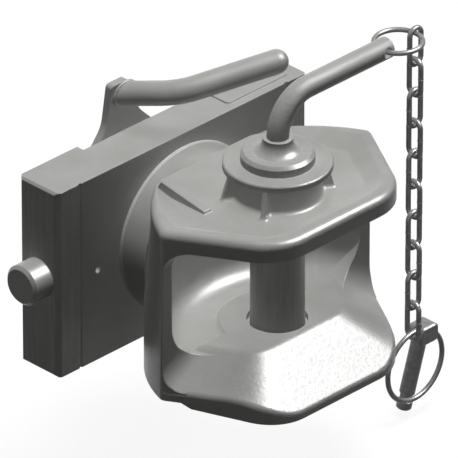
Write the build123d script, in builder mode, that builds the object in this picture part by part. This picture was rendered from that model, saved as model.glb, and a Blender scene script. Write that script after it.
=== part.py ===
"""Pin coupling on a height-adjustable slide block, for the rear of a tractor.

Millimetres. +X is to the left-hand guide rail as seen from the tractor seat, +Z is up, and the mouth of the
jaw faces -Y. The origin is on the swivel axis, in the front face of the slide block. A "reach" is a distance
in front of that face, so a reach of r lies at Y = -r.
"""

from build123d import *
from math import cos, radians, sin, sqrt, tan
import os

os.makedirs("parts", exist_ok=True)

# Slide block: a forged plate that two lock bolts hold at one height between the guide rails.
block_width = 310.0
block_height = 186.0
block_depth = 49.0
block_corner = 4.1
side_bevel = 2.2
recess_gap = 3.0
recess_depth = 8.0
rail_groove_inset = 27.4
rail_groove_width = 3.0
rail_groove_depth = 1.5
top_pad_x = (63.5, 140.0)
top_pad_width = 27.0
top_pad_height = 1.5
top_pad_setback = 8.5
top_pad_corner = 4.0
vent_x = 106.0
vent_diameter = 6.0
vent_level = -2.0

# Swivel: the jaw's trunnion turns in a bush in the block.
trunnion_radius = 26.0
trunnion_thread_step = 1.0
trunnion_stub = 3.0
running_clearance = 0.05
bush_wall = 4.0
hub_wall = 3.0
flange_radius = 80.0
flange_root_reach = 32.0
thrust_ring_thickness = 3.8
thrust_ring_bore = 27.0
face_gap = 0.2
washer_radius = 46.0
washer_thickness = 4.0
edge_break = 0.8
nut_across_flats = 74.0
nut_height = 24.0
castle_height = 8.0
castle_slot = 7.0
castle_step = 2.0
split_pin_radius = 2.8
split_pin_clearance = 0.1
split_pin_stub = 2.0
split_pin_eye = 5.0
split_pin_leg = 9.0

# Jaw casting: plan outline.
jaw_half_width = 130.0
leg_setback = 13.4
jaw_nose = 79.6
cheek_angle = 30.4
nose_radius = 50.0
cheek_radius = 8.0
lower_shoulder = (60.0, 22.0)
lower_bulge_inset = (26.0, 55.0)
upper_shoulder = (56.0, 28.0)
upper_bulge_inset = (30.4, 59.2)

# Jaw casting: levels.
plate_underside = 69.0
plate_thickness = 11.0
rim_height = 7.4
rim_round = 7.0
rim_inner_round = 3.0
draft_start = -20.0
seat_level = -46.4
ledge_drop = 3.8
heel_depth = 35.6
nose_depth = 49.5
underside_step = 118.0
underside_step_height = 5.0
underside_step_length = 8.0

# Jaw casting: throat, seat and funnel.
leg_wall = 13.0
throat_shoulder_inset = (21.0, 73.0)
throat_wall_reach = 32.0
throat_rear_fillet = 20.0
throat_side_fillet = 36.0
throat_roof_fillet = 18.0
mouth_fillet = 25.0
seat_half_width = 80.0
seat_point_setback = 9.4
seat_front_length = 32.6
seat_corner_radius = 32.0
seat_edge_round = 12.0
lip_round = 6.0
seat_disc_width = 23.7
seat_skirt = 9.5
cheek_slope = 0.632
nose_slope = 0.90
cutter_margin = 20.0
weld_overlap = 1.0

# Main pin and its seat in the jaw.
pin_reach = 116.4
pin_radius = 24.3
upper_bush_wall = 4.6
lower_bush_wall = 2.9
lower_bush_setback = 6.0
pin_below_seat = 78.0
pin_end_chamfer = 4.0
pin_head_lip = 8.7
pin_head_height = 10.0
pin_head_bevel = 3.0
pin_neck_wall = 3.5
pin_neck_flare = 7.7
pin_neck_hollow = 2.4
pin_neck_height = 13.0
boss_wall = 10.5
boss_height = 33.0
boss_flange_lip = 9.2
boss_flange_height = 6.0
boss_foot_fillet = 4.0
boss_bevel = 1.2
boss_rib_spread = 12.0
boss_rib_inset = 5.0
boss_rib_thickness = 5.0
boss_rib_round = 1.0
boss_rib_root = 3.0
boss_rib_angle = 30.0
handle_radius = 10.0
handle_bend = 36.0
handle_length = 137.0
handle_socket = 14.0
handle_tip_chamfer = 2.0
ring_hole_inset = 8.8
ring_hole_radius = 5.3

# Gusset ribs on the top plate.
gusset_x = 68.0
gusset_start = 37.0
gusset_crest = 45.0
gusset_end = 99.0
gusset_height = 11.0
gusset_end_height = 2.5
gusset_width = 9.0

# Dished recess in the top plate: its floor and the inner edge of its rim, from the back forwards.
rim_inset = 12.0
floor_inset = 27.0
floor_round = 6.0
floor_back = ((58.0, 18.0), (66.0, 44.0))
floor_back_inset = (48.0, 77.0)
rim_back = ((70.0, 18.0), (79.0, 42.0))
rim_back_inset = (27.0, 75.0)
floor_cheek_step = 5.5
rim_cheek_step = 1.5

# Keeper chain, from the pin's handle to the linch pin.
handle_ring_wire = 2.35
handle_ring_radius = 21.5
chain_wire = 2.45
chain_links = 10
chain_inner_length = 31.2
chain_outer_width = 19.0
chain_gap = 0.2

# Linch pin and its ring.
linch_ring_wire = 2.4
linch_ring_radius = 34.5
linch_ring_offset = 2.9
linch_head_size = (22.0, 17.0, 18.0)
linch_head_side = 12.9
linch_head_back = 1.5
linch_head_drop = 2.6
linch_head_round = 5.0
linch_head_bevel = 1.5
linch_eye_radius = 4.4
linch_shank_radius = 7.2
linch_shank_start = (-5.0, 1.9, -11.0)
linch_shank_end = (-17.2, 7.9, -75.0)
linch_tip_bevel = 1.5
linch_groove_depth = 1.4
linch_groove_width = 8.0
linch_hole_rise = 18.4
linch_hole_clearance = 0.8

# Lock bolts, worked by the lever through two spiral slots in the cam plate.
bolt_radius = 19.0
bolt_land = 0.5
bolt_projection = 22.4
bolt_chamfer = 3.0
bolt_depth = 24.5
bolt_shoulder = 112.0
bolt_tail_radius = 14.0
bolt_travel = 22.0
bolt_end_gap = 1.0
bolt_clearance = 0.08
lever_turn = 38.0
peg_radius = 5.0
peg_orbit = 68.0
peg_setback = 8.0
peg_clearance = 0.3
peg_stub = 0.5
slot_overrun = 2.0
spring_bore_radius = 9.0
spring_bore_depth = 80.0
spring_wire = 1.25
spring_coil_radius = 7.0
spring_turns = 9

# Lever: cam plate with its arm, and the bent tube welded to it. Arm points are (X, height above the block).
cam_edge = 12.0
cam_thickness = 7.6
arm_tip = ((-47.5, 49.0), (-27.0, 49.0))
arm_waist = ((-54.0, 9.0), (-15.0, 15.0))
arm_foot = ((-66.0, -6.0), (7.0, -7.0))
arm_waist_round = 30.0
arm_tip_round = 4.0
tube_radius = 11.25
tube_wall = 2.6
tube_root_side = 5.4
tube_root_drop = 12.6
tube_root_run = (0.508, -0.850, 0.140)
tube_root_length = 32.0
tube_bend_radius = 54.0
tube_tip_run = (0.911, -0.387, 0.132)
tube_tip_length = 75.4

# Values that follow from the sizes above.
half_width = block_width / 2
half_height = block_height / 2
recess_face = block_depth - recess_depth
cam_face = recess_face + face_gap
cam_back = cam_face + cam_thickness
cam_radius = peg_orbit + cam_edge
recess_width = 2 * (cam_radius + recess_gap)
bush_bore = trunnion_radius + running_clearance
bush_radius = bush_bore + bush_wall
hub_radius = bush_radius + hub_wall
hub_end = block_depth + face_gap
washer_start = hub_end + face_gap
nut_start = washer_start + washer_thickness
nut_end = nut_start + nut_height
castle_radius = nut_across_flats / 2 - castle_step
thread_radius = trunnion_radius - trunnion_thread_step
trunnion_end = nut_end + castle_height + trunnion_stub
split_pin_y = nut_end + castle_height / 2
jaw_start = thrust_ring_thickness + face_gap

throat_half_width = jaw_half_width - leg_wall
lower_bulge = (jaw_half_width - lower_bulge_inset[0], lower_bulge_inset[1])
upper_bulge = (jaw_half_width - upper_bulge_inset[0], upper_bulge_inset[1])
throat_shoulder = (throat_half_width - throat_shoulder_inset[0], throat_shoulder_inset[1])
floor_side = floor_back + ((jaw_half_width - floor_back_inset[0], floor_back_inset[1]),)
rim_side = rim_back + ((jaw_half_width - rim_back_inset[0], rim_back_inset[1]),)

leg_reach = pin_reach - leg_setback
jaw_reach = pin_reach + jaw_nose
seat_point_reach = pin_reach - seat_point_setback
seat_front_reach = pin_reach + seat_front_length
cheek_lean = radians(cheek_angle)
nose_corner_x = jaw_half_width - (jaw_reach - leg_reach) * tan(cheek_lean)
ledge_level = seat_level - ledge_drop
underside_rear = seat_level - heel_depth
underside_front = seat_level - nose_depth
plate_floor = plate_underside + plate_thickness
rim_inner_nose = jaw_reach - rim_inset + weld_overlap
rim_top = plate_floor + rim_height

pin_bore = pin_radius + running_clearance
upper_bush_radius = pin_bore + upper_bush_wall
lower_bush_radius = pin_bore + lower_bush_wall
seat_disc_radius = lower_bush_radius + seat_disc_width
boss_radius = upper_bush_radius + boss_wall
boss_flange_radius = boss_radius + boss_flange_lip
boss_top = plate_floor + boss_height
pin_head_radius = pin_radius + pin_head_lip
pin_head_top = boss_top + pin_head_height
pin_neck_top = pin_head_top + pin_neck_height
pin_neck_radius = handle_radius + pin_neck_wall
pin_end = seat_level - pin_below_seat
handle_level = pin_neck_top + handle_bend
ring_hole_x = handle_length - ring_hole_inset
linch_hole_level = pin_end + linch_hole_rise
linch_hole_radius = linch_shank_radius + linch_hole_clearance

cam_pitch = bolt_travel / radians(lever_turn)
bolt_nose = half_width + bolt_projection
bolt_land_end = half_width + face_gap
bolt_land_radius = bolt_radius + bolt_land
bolt_bore_end = bolt_shoulder - bolt_travel - bolt_end_gap
bolt_tail_end = peg_orbit - peg_setback
bolt_tail_bore_end = bolt_tail_end - bolt_travel - bolt_end_gap
spring_bore_end = bolt_tail_end + spring_bore_depth


def jaw_section(level, shoulder, bulge):
    """Plan of the casting at one level, symmetric about X = 0, with its nose and cheek corners rounded."""
    with BuildSketch(Plane.XY.offset(level)) as section:
        with BuildLine():
            Line((0, -shoulder[1]), (shoulder[0], -shoulder[1]))
            ThreePointArc(
                (shoulder[0], -shoulder[1]), (bulge[0], -bulge[1]), (jaw_half_width, -leg_reach)
            )
            Line((jaw_half_width, -leg_reach), (nose_corner_x, -jaw_reach))
            Line((nose_corner_x, -jaw_reach), (0, -jaw_reach))
            mirror(about=Plane.YZ)
        make_face()
        noses = [v for v in section.vertices() if v.Y < -jaw_reach + 1 and abs(v.X) > 1]
        fillet(noses, nose_radius)
        cheeks = [v for v in section.vertices() if abs(abs(v.X) - jaw_half_width) < 0.01]
        fillet(cheeks, cheek_radius)
    return section.sketch


def funnel_section(drop):
    """Plan of the lower jaw's seat and funnel, the given drop below the seat."""
    lean = tan(cheek_lean)
    back = leg_reach - weld_overlap
    nose = seat_front_reach + drop / nose_slope
    edge_x = seat_half_width + drop / cheek_slope / cos(cheek_lean)
    back_x = edge_x + (seat_point_reach - back) * lean
    nose_x = edge_x - (nose - seat_point_reach) * lean
    with BuildSketch(Plane.XY.offset(seat_level - drop)) as section:
        with BuildLine():
            Polyline(
                (-nose_x, -nose), (-back_x, -back), (back_x, -back), (nose_x, -nose), close=True
            )
        make_face()
        noses = [v for v in section.vertices() if v.Y < -nose + 1]
        fillet(noses, seat_corner_radius + drop * 0.55)
    return section.sketch


def cheek_x(reach, inset):
    """Half width at a reach, on a line parallel to the cheek and the given inset inside it."""
    return jaw_half_width - (reach - leg_reach) * tan(cheek_lean) - inset / cos(cheek_lean)


def recess_section(level, back, cheek_reach, inset):
    """Plan of the dished recess at one level, open towards the flange."""
    nose = jaw_reach - inset
    side = list(back) + [(cheek_x(cheek_reach, inset), cheek_reach), (cheek_x(nose, inset), nose)]
    with BuildSketch(Plane.XY.offset(level)) as section:
        with BuildLine():
            right = [(x, -reach) for x, reach in side]
            left = [(-x, y) for x, y in reversed(right)]
            Polyline(*right, *left, close=True)
        make_face()
        noses = [v for v in section.vertices() if v.Y < -nose + 1]
        fillet(noses, nose_radius - inset)
    return section.sketch


# The seat and funnel of the lower jaw, as the solid that stays when the mouth is cut.
funnel_depth = seat_level - underside_front + cutter_margin
with BuildPart() as funnel:
    loft([funnel_section(0), funnel_section(funnel_depth)], ruled=True)
    seat_edges = funnel.faces().sort_by(Axis.Z)[-1].edges()
    fillet([e for e in seat_edges if e.center().Y < -leg_reach], seat_edge_round)

# The space in front of the legs, open to the front and both sides.
with BuildPart() as mouth:
    with BuildSketch(Plane.YZ):
        with BuildLine():
            Polyline(
                (-leg_reach, plate_underside),
                (-jaw_reach - cutter_margin, plate_underside),
                (-jaw_reach - cutter_margin, underside_front - cutter_margin),
                (-leg_reach, underside_front - cutter_margin),
                close=True,
            )
        profile = make_face()
        rear = profile.vertices().filter_by_position(Axis.X, -leg_reach - 1, -leg_reach + 1)
        fillet(rear.sort_by(Axis.Y)[-1], mouth_fillet)
    extrude(amount=jaw_half_width + cutter_margin, both=True)
    add(funnel.part, mode=Mode.SUBTRACT)

# The hollow corner where each leg runs down into the lip: a fillet between the leg's front face and the
# slope of the cheek, drawn across the line where the two meet.
forward = Vector(0, -1, 0)
slope_normal = Vector(
    cheek_slope * cos(cheek_lean), -cheek_slope * sin(cheek_lean), 1
).normalized()
corner_run = forward.cross(slope_normal).normalized()
corner_up = corner_run.cross(forward)
corner_x = seat_half_width + (seat_point_reach - leg_reach) * tan(cheek_lean)
corner = Vector(corner_x, -leg_reach, seat_level)
lean_forward = slope_normal.dot(forward)
lean_up = slope_normal.dot(corner_up)
centre = Vector(mouth_fillet, mouth_fillet * (1 - lean_forward) / lean_up)
slope_touch = centre - Vector(lean_forward, lean_up) * mouth_fillet
arc_middle = centre - centre.normalized() * mouth_fillet
with BuildPart() as heel:
    with BuildSketch(
        Plane(origin=corner - corner_run * jaw_half_width, x_dir=forward, z_dir=corner_run)
    ):
        with BuildLine():
            ThreePointArc((0, centre.Y), arc_middle, slope_touch)
            Polyline(
                slope_touch,
                (slope_touch.X, slope_touch.Y - weld_overlap),
                (-weld_overlap, -weld_overlap),
                (-weld_overlap, centre.Y),
                (0, centre.Y),
            )
        make_face()
    extrude(amount=2 * jaw_half_width - corner_x)
    mirror(about=Plane.YZ)
    extrude(
        jaw_section(underside_front, lower_shoulder, lower_bulge),
        amount=draft_start - underside_front,
        mode=Mode.INTERSECT,
    )

# The throat behind it, between the legs, with its rounded section carried forward past the corners.
throat_front = leg_reach + mouth_fillet + weld_overlap
with BuildPart() as throat:
    with BuildSketch(Plane.XY.offset(ledge_level)):
        with BuildLine():
            ThreePointArc(
                (-throat_shoulder[0], -throat_shoulder[1]),
                (0, -throat_wall_reach),
                (throat_shoulder[0], -throat_shoulder[1]),
            )
            Polyline(
                (throat_shoulder[0], -throat_shoulder[1]),
                (throat_half_width, -leg_reach),
                (throat_half_width, -leg_reach - weld_overlap),
                (-throat_half_width, -leg_reach - weld_overlap),
                (-throat_half_width, -leg_reach),
                (-throat_shoulder[0], -throat_shoulder[1]),
            )
        make_face()
    extrude(amount=plate_underside - ledge_level)
    rear_edges = [
        e
        for e in throat.edges().filter_by_position(Axis.Z, ledge_level - 0.1, ledge_level + 0.1)
        if e.center().Y > -leg_reach + 5
    ]
    fillet(rear_edges, throat_rear_fillet)
    with BuildSketch(Plane.XZ.offset(leg_reach)):
        with Locations((0, (plate_underside + ledge_level) / 2)):
            Rectangle(2 * throat_half_width, plate_underside - ledge_level)
    extrude(amount=throat_front - leg_reach)
    with BuildSketch(Plane.XZ):
        with Locations((0, (plate_underside + ledge_level) / 2)):
            section = Rectangle(2 * throat_half_width, plate_underside - ledge_level)
        fillet(section.vertices().sort_by(Axis.Y)[:2], throat_side_fillet)
        fillet(section.vertices().sort_by(Axis.Y)[-2:], throat_roof_fillet)
    extrude(amount=jaw_reach, mode=Mode.INTERSECT)
    add(funnel.part, mode=Mode.SUBTRACT)

# The raised round of the seat behind the pin, with a hollow skirt down to the ledge.
with BuildPart() as seat_round:
    with BuildSketch(Plane.XZ.offset(pin_reach)):
        with BuildLine():
            Polyline(
                (0, seat_level),
                (0, ledge_level - weld_overlap),
                (seat_disc_radius + seat_skirt, ledge_level - weld_overlap),
                (seat_disc_radius + seat_skirt, ledge_level),
            )
            ThreePointArc(
                (seat_disc_radius + seat_skirt, ledge_level),
                (seat_disc_radius + 0.3 * seat_skirt, ledge_level + 0.3 * ledge_drop),
                (seat_disc_radius, seat_level),
            )
            Line((seat_disc_radius, seat_level), (0, seat_level))
        make_face()
    revolve(axis=Axis((0, -pin_reach, 0), (0, 0, 1)))
    split(bisect_by=Plane.XZ.offset(pin_reach), keep=Keep.BOTTOM)

# The dished recess of the top plate, with a hollow corner round its floor.
with BuildPart() as dish:
    loft(
        [
            recess_section(plate_floor, floor_side, leg_reach + floor_cheek_step, floor_inset),
            recess_section(rim_top, rim_side, leg_reach + rim_cheek_step, rim_inset),
        ],
        ruled=True,
    )
    fillet(dish.faces().sort_by(Axis.Z)[0].edges(), floor_round)

# Boss for the upper bush, with its flange and four ribs, and one hollow corner round the foot of them all.
with BuildPart() as boss:
    for start, end, radius in (
        (plate_floor - weld_overlap, plate_floor, boss_flange_radius + boss_rib_spread),
        (plate_floor, boss_top, boss_radius),
        (boss_top - boss_flange_height, boss_top, boss_flange_radius),
    ):
        with BuildSketch(Plane.XY.offset(start)):
            with Locations((0, -pin_reach)):
                Circle(radius)
        extrude(amount=end - start)
    for angle in (boss_rib_angle, 180 - boss_rib_angle, 180 + boss_rib_angle, -boss_rib_angle):
        out = Vector(cos(radians(angle)), sin(radians(angle)), 0)
        with BuildSketch(
            Plane(origin=(0, -pin_reach, 0), x_dir=out, z_dir=out.cross(Vector(0, 0, 1)))
        ):
            with BuildLine():
                Polyline(
                    (boss_radius - weld_overlap, plate_floor),
                    (boss_radius + boss_rib_spread, plate_floor),
                    (boss_flange_radius - boss_rib_inset, boss_top - boss_flange_height),
                    (boss_radius - weld_overlap, boss_top - boss_flange_height),
                    close=True,
                )
            make_face()
        extrude(amount=boss_rib_thickness / 2, both=True)
    uprights = [e for e in boss.edges().filter_by(GeomType.LINE) if e.length > boss_height / 2]
    uprights.sort(key=lambda e: (e.center() - Vector(0, -pin_reach, e.center().Z)).length)
    fillet(uprights[: len(uprights) // 2], boss_rib_root)
    leaning = [e for e in boss.edges().filter_by(GeomType.LINE) if e.length > boss_height / 2]
    leaning.sort(key=lambda e: (e.center() - Vector(0, -pin_reach, e.center().Z)).length)
    fillet(leaning[-len(uprights) // 2 :], boss_rib_round)
    foot = boss.edges().filter_by_position(Axis.Z, plate_floor - 0.01, plate_floor + 0.01)
    outer_rim = foot.sort_by(SortBy.LENGTH)[-1]
    fillet([e for e in foot if not e.is_same(outer_rim)], boss_foot_fillet)
    chamfer(boss.faces().sort_by(Axis.Z)[-1].edges(), boss_bevel)

# Jaw: one casting with its trunnion.
with BuildPart() as jaw:
    extrude(
        jaw_section(underside_front, lower_shoulder, lower_bulge),
        amount=draft_start - underside_front,
    )
    loft(
        [
            jaw_section(draft_start, lower_shoulder, lower_bulge),
            jaw_section(plate_underside, upper_shoulder, upper_bulge),
        ]
    )
    extrude(
        jaw_section(plate_underside, upper_shoulder, upper_bulge),
        amount=rim_top - plate_underside,
    )
    fillet(jaw.faces().sort_by(Axis.Z)[-1].edges(), rim_round)
    add(dish.part, mode=Mode.SUBTRACT)
    rim_edges = jaw.faces().sort_by(Axis.Z)[-1].edges()
    inner_edges = [e for e in rim_edges if -rim_inner_nose < e.center().Y < -leg_reach]
    fillet(inner_edges, rim_inner_round)

    # The mouth, with its lower lip rounded.
    add(mouth.part, mode=Mode.SUBTRACT)
    lips = [e for e in jaw.edges().filter_by(GeomType.BSPLINE) if e.bounding_box().max.Z < ledge_level]
    fillet(lips, lip_round)

    # The underside falls towards the nose, with a step behind the cheeks.
    with BuildSketch(Plane.YZ):
        with BuildLine():
            Polyline(
                (0, underside_rear),
                (-underside_step, underside_rear),
                (-underside_step - underside_step_length, underside_rear - underside_step_height),
                (-jaw_reach - weld_overlap, underside_front),
                (-jaw_reach - weld_overlap, underside_front - cutter_margin),
                (0, underside_front - cutter_margin),
                close=True,
            )
        make_face()
    extrude(amount=jaw_half_width + cutter_margin, both=True, mode=Mode.SUBTRACT)

    # Boss and two gusset ribs on the top plate.
    add(boss.part)
    for middle in (-gusset_x, gusset_x):
        with BuildSketch(Plane.YZ.offset(middle - gusset_width / 2)):
            with BuildLine():
                Polyline(
                    (-gusset_start, plate_floor - weld_overlap),
                    (-gusset_crest, plate_floor + gusset_height),
                    (-gusset_end + weld_overlap, plate_floor + gusset_end_height),
                    (-gusset_end, plate_floor - weld_overlap),
                    close=True,
                )
            make_face()
        extrude(amount=gusset_width)

    # Flange and trunnion, with a thread for the nut and a hole for its split pin.
    with BuildSketch(Plane.XZ.offset(jaw_start)):
        Circle(flange_radius)
    extrude(amount=flange_root_reach - jaw_start)
    with BuildSketch(Plane.XZ.offset(jaw_start)):
        Circle(trunnion_radius)
    extrude(amount=-jaw_start - nut_start)
    with BuildSketch(Plane.XZ.offset(-nut_start)):
        Circle(thread_radius)
    extrude(amount=nut_start - trunnion_end)
    chamfer(jaw.edges().sort_by(Axis.Y)[-1], trunnion_thread_step)
    with BuildSketch(Plane.YZ):
        with Locations((split_pin_y, 0)):
            Circle(split_pin_radius + split_pin_clearance)
    extrude(amount=trunnion_radius + weld_overlap, both=True, mode=Mode.SUBTRACT)

    # Throat and seat.
    add(heel.part)
    add(throat.part, mode=Mode.SUBTRACT)
    add(seat_round.part)

    # Bores for the two pin bushes.
    with BuildSketch(Plane.XY.offset(plate_underside - weld_overlap)):
        with Locations((0, -pin_reach)):
            Circle(upper_bush_radius)
    extrude(amount=boss_top - plate_underside + 2 * weld_overlap, mode=Mode.SUBTRACT)
    with BuildSketch(Plane.XY.offset(seat_level + weld_overlap)):
        with Locations((0, -pin_reach)):
            Circle(lower_bush_radius)
    extrude(amount=underside_front - seat_level - cutter_margin, mode=Mode.SUBTRACT)
jaw.part.label = "jaw"

# Slide block.
with BuildPart() as slide_block:
    with BuildSketch(Plane.XZ.offset(-block_depth)):
        Rectangle(block_width, block_height)
    extrude(amount=block_depth)
    chamfer(slide_block.edges().filter_by(Axis.Z), block_corner)
    sides = slide_block.edges().filter_by(Axis.Y)
    chamfer(sides, side_bevel)
    with BuildSketch(Plane.XZ.offset(-recess_face)):
        Rectangle(recess_width, block_height)
    extrude(amount=-recess_depth, mode=Mode.SUBTRACT)
    with BuildSketch(Plane.XY.offset(-half_height)):
        groove_x = half_width - rail_groove_inset
        with Locations((-groove_x, 0), (groove_x, 0)):
            Rectangle(rail_groove_width, 2 * rail_groove_depth)
    extrude(amount=block_height, mode=Mode.SUBTRACT)
    with BuildSketch(Plane.XY.offset(half_height)):
        with Locations(((top_pad_x[0] + top_pad_x[1]) / 2, top_pad_setback + top_pad_width / 2)):
            RectangleRounded(top_pad_x[1] - top_pad_x[0], top_pad_width, top_pad_corner)
    extrude(amount=top_pad_height)
    with BuildSketch(Plane.XZ.offset(-recess_face)):
        Circle(hub_radius)
    extrude(amount=recess_face - hub_end)
    with BuildSketch(Plane.XZ):
        Circle(bush_radius)
    extrude(amount=-hub_end, mode=Mode.SUBTRACT)
    with BuildSketch(Plane.XZ):
        with Locations((-vent_x, vent_level), (vent_x, vent_level)):
            Circle(vent_diameter / 2)
    extrude(amount=-bolt_depth, mode=Mode.SUBTRACT)
    for hand in (-1, 1):
        with BuildSketch(Plane.YZ.offset(hand * bolt_bore_end)):
            with Locations((bolt_depth, 0)):
                Circle(bolt_land_radius + bolt_clearance)
        extrude(amount=hand * (half_width - bolt_bore_end), mode=Mode.SUBTRACT)
        with BuildSketch(Plane.YZ.offset(hand * bolt_tail_bore_end)):
            with Locations((bolt_depth, 0)):
                Circle(bolt_tail_radius + bolt_clearance)
        extrude(amount=hand * (bolt_bore_end - bolt_tail_bore_end), mode=Mode.SUBTRACT)
        with BuildSketch(Plane.XZ.offset(-bolt_depth)):
            with Locations((hand * (peg_orbit - bolt_travel / 2), 0)):
                SlotCenterToCenter(bolt_travel + bolt_end_gap, 2 * (peg_radius + peg_clearance))
        extrude(amount=bolt_depth - recess_face, mode=Mode.SUBTRACT)
slide_block.part.label = "slide_block"

# Bush, thrust ring, washer, nut and split pin of the swivel.
with BuildPart() as trunnion_bush:
    with BuildSketch(Plane.XZ):
        Circle(bush_radius)
        Circle(bush_bore, mode=Mode.SUBTRACT)
    extrude(amount=-hub_end)
    mouths = trunnion_bush.edges().filter_by(GeomType.CIRCLE).sort_by(SortBy.RADIUS)[:2]
    chamfer(mouths, edge_break)
trunnion_bush.part.label = "trunnion_bush"

with BuildPart() as thrust_ring:
    with BuildSketch(Plane.XZ):
        Circle(flange_radius)
        Circle(thrust_ring_bore, mode=Mode.SUBTRACT)
    extrude(amount=thrust_ring_thickness)
thrust_ring.part.label = "thrust_ring"

with BuildPart() as rear_washer:
    with BuildSketch(Plane.XZ.offset(-washer_start)):
        Circle(washer_radius)
        Circle(trunnion_radius + face_gap, mode=Mode.SUBTRACT)
    extrude(amount=-washer_thickness)
    rims = rear_washer.edges().filter_by(GeomType.CIRCLE).group_by(Axis.Y)[-1]
    chamfer(rims.sort_by(SortBy.RADIUS)[-1], edge_break)
rear_washer.part.label = "rear_washer"

with BuildPart() as trunnion_nut:
    with BuildSketch(Plane.XZ.offset(-nut_start)):
        RegularPolygon(nut_across_flats / 2, 6, major_radius=False)
    extrude(amount=-nut_height)
    with BuildSketch(Plane.XZ.offset(-nut_end)):
        Circle(castle_radius)
    extrude(amount=-castle_height)
    for turn in (0, 60, 120):
        with BuildSketch(Plane.XZ.offset(-nut_end)):
            Rectangle(2 * nut_across_flats, castle_slot, rotation=turn)
        extrude(amount=-castle_height, mode=Mode.SUBTRACT)
    with BuildSketch(Plane.XZ.offset(-nut_start)):
        Circle(thread_radius)
    extrude(amount=-nut_height - castle_height, mode=Mode.SUBTRACT)
trunnion_nut.part.label = "trunnion_nut"

# The split pin has its eye on one side of the nut and its two legs bent apart on the other.
with BuildPart() as nut_split_pin:
    eye_x = -castle_radius - split_pin_stub
    bend_x = castle_radius + split_pin_stub
    leg_radius = split_pin_radius / 2 - split_pin_clearance
    with BuildSketch(Plane.YZ.offset(eye_x)):
        with Locations((split_pin_y, 0)):
            Circle(split_pin_radius)
    extrude(amount=bend_x - eye_x)
    with BuildSketch(Plane.XZ.offset(-split_pin_y)):
        with Locations((eye_x - split_pin_eye / 2, 0)):
            Circle(split_pin_eye)
            Circle(split_pin_eye - split_pin_radius, mode=Mode.SUBTRACT)
    extrude(amount=leg_radius, both=True)
    for hand in (-1, 1):
        with BuildLine():
            FilletPolyline(
                (bend_x - split_pin_stub, split_pin_y, hand * split_pin_radius / 2),
                (bend_x + split_pin_stub, split_pin_y, hand * split_pin_radius / 2),
                (bend_x + 2 * split_pin_stub, split_pin_y, hand * split_pin_leg),
                radius=split_pin_stub,
            )
        with BuildSketch(Plane.YZ.offset(bend_x - split_pin_stub)):
            with Locations((split_pin_y, hand * split_pin_radius / 2)):
                Circle(leg_radius)
        sweep()
nut_split_pin.part.label = "nut_split_pin"

# Lock bolts with their pegs and springs, one of each on either side.
for side, hand in (("left", -1), ("right", 1)):
    with BuildPart() as lock_bolt:
        for start, end, radius in (
            (bolt_land_end, bolt_nose, bolt_radius),
            (bolt_shoulder, bolt_land_end, bolt_land_radius),
            (bolt_tail_end, bolt_shoulder, bolt_tail_radius),
        ):
            with BuildSketch(Plane.YZ.offset(hand * start)):
                with Locations((bolt_depth, 0)):
                    Circle(radius)
            extrude(amount=hand * (end - start))
        nose = lock_bolt.faces().sort_by(Axis.X)[-1 if hand > 0 else 0]
        chamfer(nose.edges(), bolt_chamfer)
        with BuildSketch(Plane.YZ.offset(hand * bolt_tail_end)):
            with Locations((bolt_depth, 0)):
                Circle(spring_bore_radius)
        extrude(amount=hand * (spring_bore_end - bolt_tail_end), mode=Mode.SUBTRACT)
        with BuildSketch(Plane.XZ.offset(-bolt_depth)):
            with Locations((hand * peg_orbit, 0)):
                Circle(peg_radius)
        extrude(amount=-bolt_tail_radius, mode=Mode.SUBTRACT)
    lock_bolt.part.label = "lock_bolt_" + side
    export_step(lock_bolt.part, "parts/lock_bolt_" + side + ".step")

    with BuildPart() as lock_peg:
        with BuildSketch(Plane.XZ.offset(peg_stub - cam_back)):
            with Locations((hand * peg_orbit, 0)):
                Circle(peg_radius)
        extrude(amount=cam_back - bolt_depth - spring_bore_radius - 2 * peg_stub)
    lock_peg.part.label = "lock_peg_" + side
    export_step(lock_peg.part, "parts/lock_peg_" + side + ".step")

    spring_start = bolt_tail_bore_end + spring_wire + face_gap
    spring_length = spring_bore_end - spring_wire - face_gap - spring_start
    with BuildPart() as lock_spring:
        with BuildLine():
            coil = Helix(
                pitch=spring_length / spring_turns,
                height=spring_length,
                radius=spring_coil_radius,
                center=(hand * spring_start, bolt_depth, 0),
                direction=(hand, 0, 0),
            )
        with BuildSketch(Plane(origin=coil @ 0, z_dir=coil % 0)):
            Circle(spring_wire)
        sweep(is_frenet=True)
    lock_spring.part.label = "lock_spring_" + side
    export_step(lock_spring.part, "parts/lock_spring_" + side + ".step")


def cam_slot(hand):
    """Spiral slot in the cam plate: its orbit shrinks evenly as the plate turns."""
    points = []
    for turn in (-slot_overrun, lever_turn / 2, lever_turn + slot_overrun):
        orbit = peg_orbit - cam_pitch * radians(turn)
        points.append((hand * orbit * cos(radians(turn)), hand * orbit * sin(radians(turn))))
    with BuildSketch(Plane.XZ.offset(-cam_face)) as slot:
        with BuildLine():
            route = ThreePointArc(*points)
        SlotArc(route, 2 * (peg_radius + peg_clearance))
    return slot.sketch


# Cam plate with its arm, in the block's recess.
with BuildPart() as lever_plate:
    with BuildSketch(Plane.XZ.offset(-cam_face)) as plate:
        with BuildLine():
            left, right = (
                [(side[0], half_height + side[1]) for side in (arm_foot[i], arm_waist[i], arm_tip[i])]
                for i in (0, 1)
            )
            Polyline((0, 0), *left, *reversed(right), close=True)
        make_face()
        waists = [v for v in plate.vertices() if half_height < v.Y < half_height + arm_waist[1][1] + 1]
        fillet(waists, arm_waist_round)
        fillet(plate.vertices().sort_by(Axis.Y)[-2:], arm_tip_round)
        Circle(cam_radius)
        Circle(hub_radius + peg_clearance, mode=Mode.SUBTRACT)
    extrude(amount=-cam_thickness)
    for hand in (-1, 1):
        extrude(cam_slot(hand), amount=-cam_thickness, mode=Mode.SUBTRACT)
lever_plate.part.label = "lever_plate"

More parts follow.
